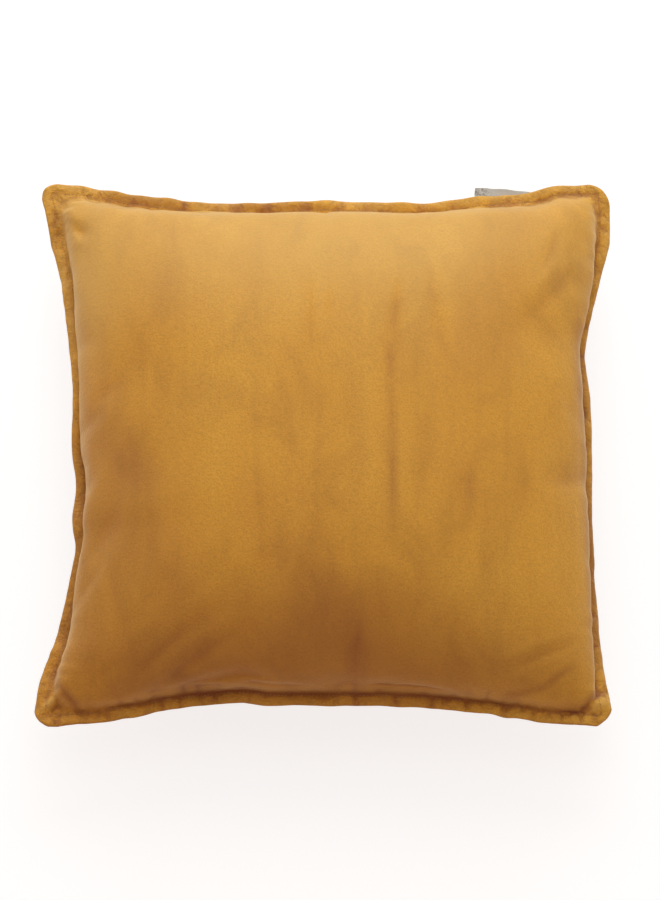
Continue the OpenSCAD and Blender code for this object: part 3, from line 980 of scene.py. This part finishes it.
def metal_material():
    m = Nodes("zip_metal")
    colour, tarnished = (0.62, 0.60, 0.56), (0.3844, 0.372, 0.3472)
    brushed = m.noise(900, 3.0, 0.7, stretch=(0.08, 1.0, 1.0))
    base = m.tint(colour, tarnished, m.noise(160, 3.0, 0.6), 0.5)
    m.set(Metallic=1.0)
    rough = m.ramp(brushed, [(0.3, (0.24, 0.24, 0.24)), (0.7, (0.42, 0.42, 0.42))])
    m.link(rough, m.shader.inputs["Roughness"])
    return m.finish(base, m.bump(brushed, 0.00005, 0.5))


def nylon_material():
    m = Nodes("nylon_coil")
    base = m.mix(m.noise(200, 2.0), (0.46, 0.24, 0.05), (0.36, 0.17, 0.03))
    m.set(Roughness=0.38, Specular_IOR_Level=0.5)
    return m.finish(base, m.bump(m.noise(1500, 1.0), 0.00003, 0.4))


def cotton_material():
    m = Nodes("cotton")
    cloth = m.math("ADD", m.wave(420, "X"), m.wave(420, "Y"))
    base = m.ramp(cloth, [(0.2, (0.66, 0.63, 0.57)), (0.8, (0.80, 0.78, 0.72))])
    base = m.tint(base, (0.62, 0.58, 0.50), m.noise(12, 3.0), 0.3)
    m.set(Roughness=0.9, Sheen_Weight=0.15)
    return m.finish(base, m.bump(cloth, 0.00015, 0.6))


def fibre_material():
    m = Nodes("fibre_filling")
    strands = m.noise(70, 4.0, 0.7, stretch=(1.0, 0.4, 1.0), distortion=2.5)
    base = m.ramp(strands, [(0.3, (0.72, 0.72, 0.72)), (0.7, (0.88, 0.88, 0.87))])
    m.set(Roughness=0.8, Sheen_Weight=0.5)
    return m.finish(base, m.bump(strands, 0.002, 0.7))


def label_material():
    m = Nodes("label_cloth")
    cloth = m.math("MULTIPLY", m.wave(700, "X"), m.wave(900, "Y"))
    base = m.ramp(cloth, [(0.1, (0.46, 0.45, 0.42)), (0.8, (0.70, 0.69, 0.66))])
    worn = m.ramp(m.noise(420, 2.0, 0.7), [(0.42, (0.42, 0.40, 0.36)), (0.58, (1, 1, 1))])
    base = m.mix(m.attribute("worn"), base, m.mix(1.0, base, worn, "MULTIPLY"))
    m.set(Roughness=0.8, Sheen_Weight=0.2)
    return m.finish(base, m.bump(cloth, 0.0001, 0.8))


VELVET = velvet_material()
THREAD = thread_material("thread", (0.42, 0.215, 0.045), (0.24, 0.105, 0.018))
TAPE = tape_material()
NYLON = nylon_material()
STEEL = metal_material()
COTTON = cotton_material()
PAD_THREAD = thread_material("pad_thread", (0.78, 0.76, 0.70), (0.55, 0.53, 0.48))
FIBRE = fibre_material()
LABEL = label_material()


def place(obj, slot, *nodes):
    """The piece stands for these nodes and moves with the cushion."""
    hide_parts(*nodes)
    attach(obj, BODY)
    return obj


def paint_node(name, material):
    """Gives a node that is kept from the frame its material."""
    materials = frame["nodes"][name].data.materials
    materials.clear()
    materials.append(material)


# Marks painted into the velvet, darker, or paler where the strength is under 0: crushed and brushed pile,
# painted shade in creases, folds and beside the seams, and painted light. From, to, half-width in
# millimetres, and strength
PILE_AND_LIGHT_MARKS = [
    # creases of the face, darker partly for crushed pile and partly as painted shade in them; blotches of
    # crushed pile
    ((-14, 142), (-12, 60), 5, 0.2), ((2, 122), (4, 98), 4, 0.16), ((60, 132), (54, 48), 3.4, 0.42),
    ((54, 48), (58, -92), 4, 0.34), ((90, 142), (100, 62), 6, 0.16), ((121, -42), (119, -90), 3.2, 0.36),
    ((8, -64), (12, -72), 9, 0.28), ((-6, -34), (-4, -42), 7, 0.18), ((-176, -8), (-166, -40), 9, 0.26),
    # wide patches of brushed pile; bands across the lower face and thin creases darker as painted shade, and
    # the marks under 0, on the upper face, the upper left and along the bottom flange, paler as painted light
    ((-205, 40), (-185, -70), 32, 0.16), ((-182, -20), (-170, -165), 60, 0.33),
    ((-60, -165), (70, -172), 34, 0.26), ((-110, -160), (190, -175), 48, 0.15),
    ((-200, -200), (215, -205), 38, 0.2),
    *chain([(150, -222), (182, -216), (210, -196)], 2.6, 0.35, 0.4),
    ((-190, -190), (-60, -205), 26, 0.22), ((-190, 90), (-120, 60), 26, 0.08),
    ((60, -205), (200, -200), 20, 0.14), ((150, 150), (180, 110), 18, 0.1),
    ((-160, -30), (-150, -60), 20, 0.14), ((28, -170), (32, -222), 5, 0.22),
    ((-130, -206), (-96, -214), 5, 0.2), ((-170, 12), (-158, -30), 7, 0.18),
    ((-190, 175), (190, 175), 70, -0.4), ((-205, 60), (-205, 215), 34, -0.35),
    ((-225, -231), (225, -232), 7, -0.2),
    # beside the seams: painted shade on the flange, in the groove and the slit under the face's edge
    *chain([(-190, 233), (-122, 226), (0, 224)], 6.5, 0.6, 0.6), ((0, 224), (110, 222), 6, 0.25),
    *chain([(217, 110), (221, 0), (229, -190)], 5, 0.75, 0.7),
    *chain([(231, -214), (216, -229), (198, -231)], 2.6, 0.75, 0.65),
    # corners: painted shade in the valleys of the folds and the crumpled zigzag, and painted highlight on the
    # ridges where the strength is under 0
    ((-227, -192), (-225, -211), 2.6, 0.5), ((-225, -211), (-205, -231), 2.6, 0.7),
    ((-226, -222), (-225, -243), 2.8, 0.55), ((-237, -228), (-225, -217), 3, -0.7),
    ((222, -224), (236, -224), 5, -0.5),
    *chain([(-236, 222), (-231, 213), (-235, 206), (-228, 198), (-232, 191), (-226, 184)],
           2.5, 0.4, 0.45, 0.45, 0.4, 0.4),
    ((-214, 201), (-205, 187), 3, 0.35),
]


def rubbed(full, marks):
    """How much darker (over 0) or paler (under 0) the velvet is painted along the marks and across the
    flange, for crushed and brushed pile, painted shade and painted light.
    """
    total = np.zeros(full.shape[:2])
    for a, b, width, strength in marks:
        total += strength * stroke(full, a, b, width, 0.15)
    steps = np.arange(full.shape[0])
    out = np.maximum(K - steps, steps - (full.shape[0] - 1 - K)).clip(0)
    out = np.maximum(out[:, None], out[None, :])
    edge = np.array([0.0] + FLANGE_SHADE_AND_WEAR)[out]
    return (total + edge).clip(-1, 1)


def relief(full, face):
    """How far each point stands out of the cloth round it (over 0) or lies in a hollow of it (under 0), for
    painted shade in the hollows and paler ridges; strongest near the seams, weaker on the left.
    """
    proud = ((full - blur(full, 1.6)) * normals_of(full)).sum(-1) * face
    inside = np.zeros(full.shape[:2])
    inside[K + 4:-K - 4, K + 4:-K - 4] = 1
    left = smooth((-full[..., 0] / MM - 165) / 30)
    strongest = 0.35 * MM
    return (proud / strongest).clip(-1, 1) * (1 - 0.72 * blur(inside, 1.5)) * (1 - 0.65 * left)


def lowness(full, face):
    """1 on the flange and the flat ears of the corners, where the loose cloth crumples, and 0 on the rest."""
    filled = 6 * MM
    return smooth(1.15 - (full[..., 2] - MID) * face / filled)


def build_cushion():
    front = front_grid()
    back, row, up = back_grid()
    # Each panel carries its painted shade and painted light, with its crushed and brushed pile, as fields for
    # the velvet.
    panel = panel_object("cover_front", front, VELVET, rubbed=rubbed(front, PILE_AND_LIGHT_MARKS), relief=relief(front, 1),
                         loose=lowness(front, 1))
    place(panel, "velvet", "front_panel")
    # The back's flange gets its painted shade, its hollows painted shade and its ridges paler.
    dark, proud, low = rubbed(back, ()), relief(back, -1), lowness(back, -1)
    upper = open_at_zip(back[row:], up[row:], 1)[:, ::-1]
    lower = open_at_zip(back[:row + 1], up[:row + 1], -1)[:, ::-1]
    for name, grid, rows in (("upper", upper, slice(row, None)), ("lower", lower, slice(0, row + 1))):
        piece = panel_object("cover_back_" + name, grid, VELVET, rubbed=dark[rows, ::-1],
                             relief=proud[rows, ::-1], loose=low[rows, ::-1])
        place(piece, "velvet", "back_panel_" + name)
    for name, full, face in (("front", front, 1), ("back", back, -1)):
        path = ring(full, K - 1 - STITCH_STEP)
        stitches = stitch_run("topstitch_" + name, path, (0, 0, face), THREAD, sway=0.25)
        place(stitches, "thread", "flange_stitching_" + name)
    return front, back


def build_label():
    obj = place(label_object("label", LABEL), "label", "woven_label")
    x = points_of(obj.data)[:, 0]
    set_attribute(obj, "worn", smooth((0.146 - x) / 0.012))


def build_zip():
    for name, sign in (("upper", 1), ("lower", -1)):
        place(coil_object("coil_" + name, sign, NYLON), "zip_coil", "zip_coil_" + name)
        place(zip_stitches("zip_thread_" + name, sign, THREAD), "thread", "zip_stitching_" + name)
        paint_node("zip_tape_" + name, TAPE)
    for name, sign in (("bar_tack_left", -1), ("bar_tack_right", 1)):
        place(bar_tack(name, sign, THREAD), "thread", "zip_bar_tacks")
    for name in ("zip_slider", "zip_pull", "zip_top_stops", "zip_bottom_stop"):
        paint_node(name, STEEL)


def build_pad(front, back):
    faces = pad_faces(front, back)
    for name, grid in (("front", faces[0]), ("back", faces[1][:, ::-1])):
        casing = panel_object("pad_cloth_" + name, grid, COTTON)
        place(casing, "pad_cotton", "pad_casing_" + name)
    path = ring(faces[0], 0)
    seam = stitch_run("pad_overlock", path, (0, 0, 1), PAD_THREAD, pitch=2.4, length=2.6, radius=0.4,
                      sway=0.9)
    place(seam, "pad_thread", "pad_edge_seam")
    smaller = [scaled_about_middle(blur(grid, 2.0), 0.965, 0.955) for grid in faces]
    smaller[1][0], smaller[1][-1], smaller[1][:, 0], smaller[1][:, -1] = (
        smaller[0][0], smaller[0][-1], smaller[0][:, 0], smaller[0][:, -1])
    filling = place(closed_form("fibre_core", smaller[0], smaller[1], FIBRE, 0.02), "filling", "pad_filling")


FRONT, BACK = build_cushion()
build_label()
build_zip()
build_pad(FRONT, BACK)


# ---- Floor, light and camera ----

def stage_floor():
    m = Nodes("floor")
    tone = m.tint((0.30, 0.30, 0.30), (0.28, 0.28, 0.28), m.noise(3.0, 2.0), 0.1)
    m.set(Roughness=1.0, Emission_Strength=0.78, Emission_Color=(1, 1, 1, 1), Specular_IOR_Level=0.0)
    material = m.finish(tone)
    size = 300.0
    floor = add_object("floor", [(-size, -size, 0), (size, -size, 0), (size, size, 0), (-size, size, 0)],
                       [(0, 1, 2, 3)], material, False)
    floor.visible_diffuse = False


def aim(name, data, target, way, distance):
    """Adds a light or a camera that looks at the target from this distance in the direction of way."""
    obj = bpy.data.objects.new(name, data)
    obj.location = target + way * distance
    obj.rotation_euler = way.to_track_quat("Z", "Y").to_euler()
    bpy.context.scene.collection.objects.link(obj)
    return obj


def area_light(name, direction, distance, size, power, colour=(1, 1, 1), shine=1.0):
    data = bpy.data.lights.new(name, "AREA")
    data.shape, data.size, data.energy, data.color = "DISK", size, power, colour
    data.specular_factor = shine
    aim(name, data, Vector((0, 0, MID)), Vector(direction).normalized(), distance)


def light_world():
    """A studio's even light: white at the horizon, dim above it, and warm from below."""
    world = bpy.data.worlds.new("studio")
    bpy.context.scene.world = world
    world.use_nodes = True
    nodes, link = world.node_tree.nodes, world.node_tree.links.new
    split = nodes.new("ShaderNodeSeparateXYZ")
    spread = nodes.new("ShaderNodeMapRange")
    spread.inputs["From Min"].default_value = -1.0
    sky = nodes.new("ShaderNodeValToRGB")
    below, horizon, above, top = (0.52, 0.28, 0.23), (1, 1, 1), (0.5, 0.5, 0.5), (0.31, 0.26, 0.25)
    fill_ramp(sky.color_ramp, [(0.49, below), (0.50, horizon), (0.53, above), (0.70, top)])
    link(nodes.new("ShaderNodeTexCoord").outputs["Generated"], split.inputs[0])
    link(split.outputs["Z"], spread.inputs["Value"])
    link(spread.outputs["Result"], sky.inputs["Fac"])
    link(sky.outputs["Color"], nodes["Background"].inputs["Color"])


def light_scene():
    light_world()
    area_light("key", (0.02, 0.85, 0.52), 2.4, 2.8, 59, (0.94, 1.0, 0.99))
    warm, warmer = (1.0, 0.86, 0.58), (1.0, 0.52, 0.34)
    area_light("overhead", (0.05, 0.10, 1.0), 2.6, 1.6, 8.4, shine=0)
    area_light("fill_left", (-1.0, 0.35, 0.45), 2.4, 1.6, 8.4, warm, shine=0)
    area_light("fill_right", (1.0, 0.35, 0.45), 2.4, 1.6, 6.5, warm, shine=0)
    area_light("fill_near", (0.0, -1.0, 0.75), 2.4, 1.6, 6, warmer, shine=0)
    bpy.context.scene.view_settings.view_transform = "Standard"


def place_camera():
    """Looks down at the pillow from the photograph's angle, from so far that there is little perspective."""
    tilt = math.radians(71)
    distance = 6.0
    view_height = 0.7668
    data = bpy.data.cameras.new("camera")
    data.sensor_fit, data.sensor_height = "VERTICAL", 36
    data.lens = data.sensor_height * distance / view_height
    data.clip_end = 1000
    way = Vector((0, -math.cos(tilt), math.sin(tilt)))
    bpy.context.scene.camera = aim("camera", data, Vector((0.0043, 0.0036, MID)), way, distance)


stage_floor()
light_scene()
place_camera()
